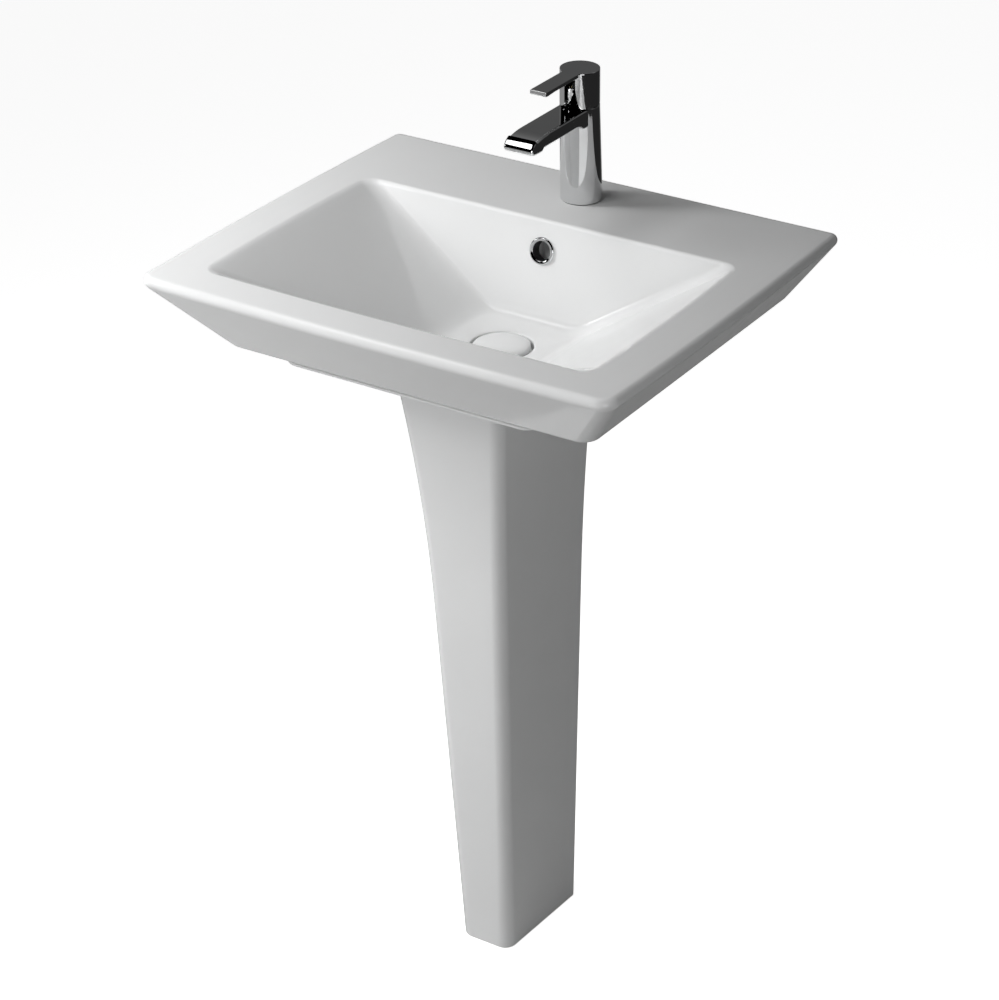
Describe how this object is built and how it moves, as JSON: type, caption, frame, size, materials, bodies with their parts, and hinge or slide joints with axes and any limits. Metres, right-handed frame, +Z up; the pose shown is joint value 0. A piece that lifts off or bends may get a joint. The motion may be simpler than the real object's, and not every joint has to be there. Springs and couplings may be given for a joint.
{
  "type": "pedestal sink",
  "caption": "Rectangular china basin with a sloping apron on a slim tapered pedestal, with a single-lever mixer tap, a push plug and a bottle trap.",
  "frame": {"origin": "on the floor, 245 mm in front of the wall, which is 3.5 mm in front of the middle of the basin", "axes": "+Z up, +Y to the wall behind, +X to the right as seen from the front"},
  "size_m": [0.58, 0.483, 1.022],
  "materials": {
    "china": "gloss",
    "chrome": "polished",
    "rubber": "matt",
    "steel": "satin",
    "brass": "machined",
    "white_plastic": "satin",
    "disc_ceramic": "lapped"
  },
  "bodies": {
    "fixture": {"basin": "china", "pedestal": "china", "overflow_ring": "chrome", "tap_body": "chrome", "tap_base_seal": "rubber", "tap_stud": "steel", "clamp_washer": "rubber", "clamp_plate": "steel", "clamp_nut": "brass", "aerator_housing": "chrome", "aerator_insert": "white_plastic", "index_button": "chrome", "cartridge_body": "white_plastic", "cartridge_seals": "rubber", "fixed_disc": "disc_ceramic", "cartridge_nut": "brass", "waste_body": "chrome", "waste_top_seal": "rubber", "waste_bottom_seal": "rubber", "waste_nut": "brass", "plug_guide": "white_plastic", "plug_spring": "steel", "inlet_pipe": "chrome", "inlet_nut": "chrome", "inlet_seal": "rubber", "bottle_body": "chrome", "bottle_nut": "chrome", "bottle_seal": "rubber", "bottle_cup": "chrome", "cup_seal": "rubber", "outlet_pipe": "chrome", "outlet_nut": "chrome", "outlet_seal": "rubber", "wall_flange": "chrome"},
    "turret": {"turret": "white_plastic", "pivot_pin": "steel", "sliding_disc": "disc_ceramic"},
    "lever": {"lever_stem": "steel", "lever_handle": "chrome", "handle_screw": "steel", "screw_cover": "chrome"},
    "plug": {"plug_cap": "china", "plug_stem": "steel", "plug_seal": "rubber"}
  },
  "joints": [
    {"name": "handle_turn", "type": "hinge", "parent": "fixture", "child": "turret", "pos_m": [0, 0.1805, 1], "axis": [0, 0, 1], "range_deg": [-45, 45]},
    {"name": "handle_lift", "type": "hinge", "parent": "turret", "child": "lever", "pos_m": [0, 0.1805, 1], "axis": [-1, 0, 0], "range_deg": [0, 18]},
    {"name": "plug_slide", "type": "slide", "parent": "fixture", "child": "plug", "axis": [0, 0, 1], "range_m": [0, 0.009], "deforming": ["plug_spring"]}
  ]
}
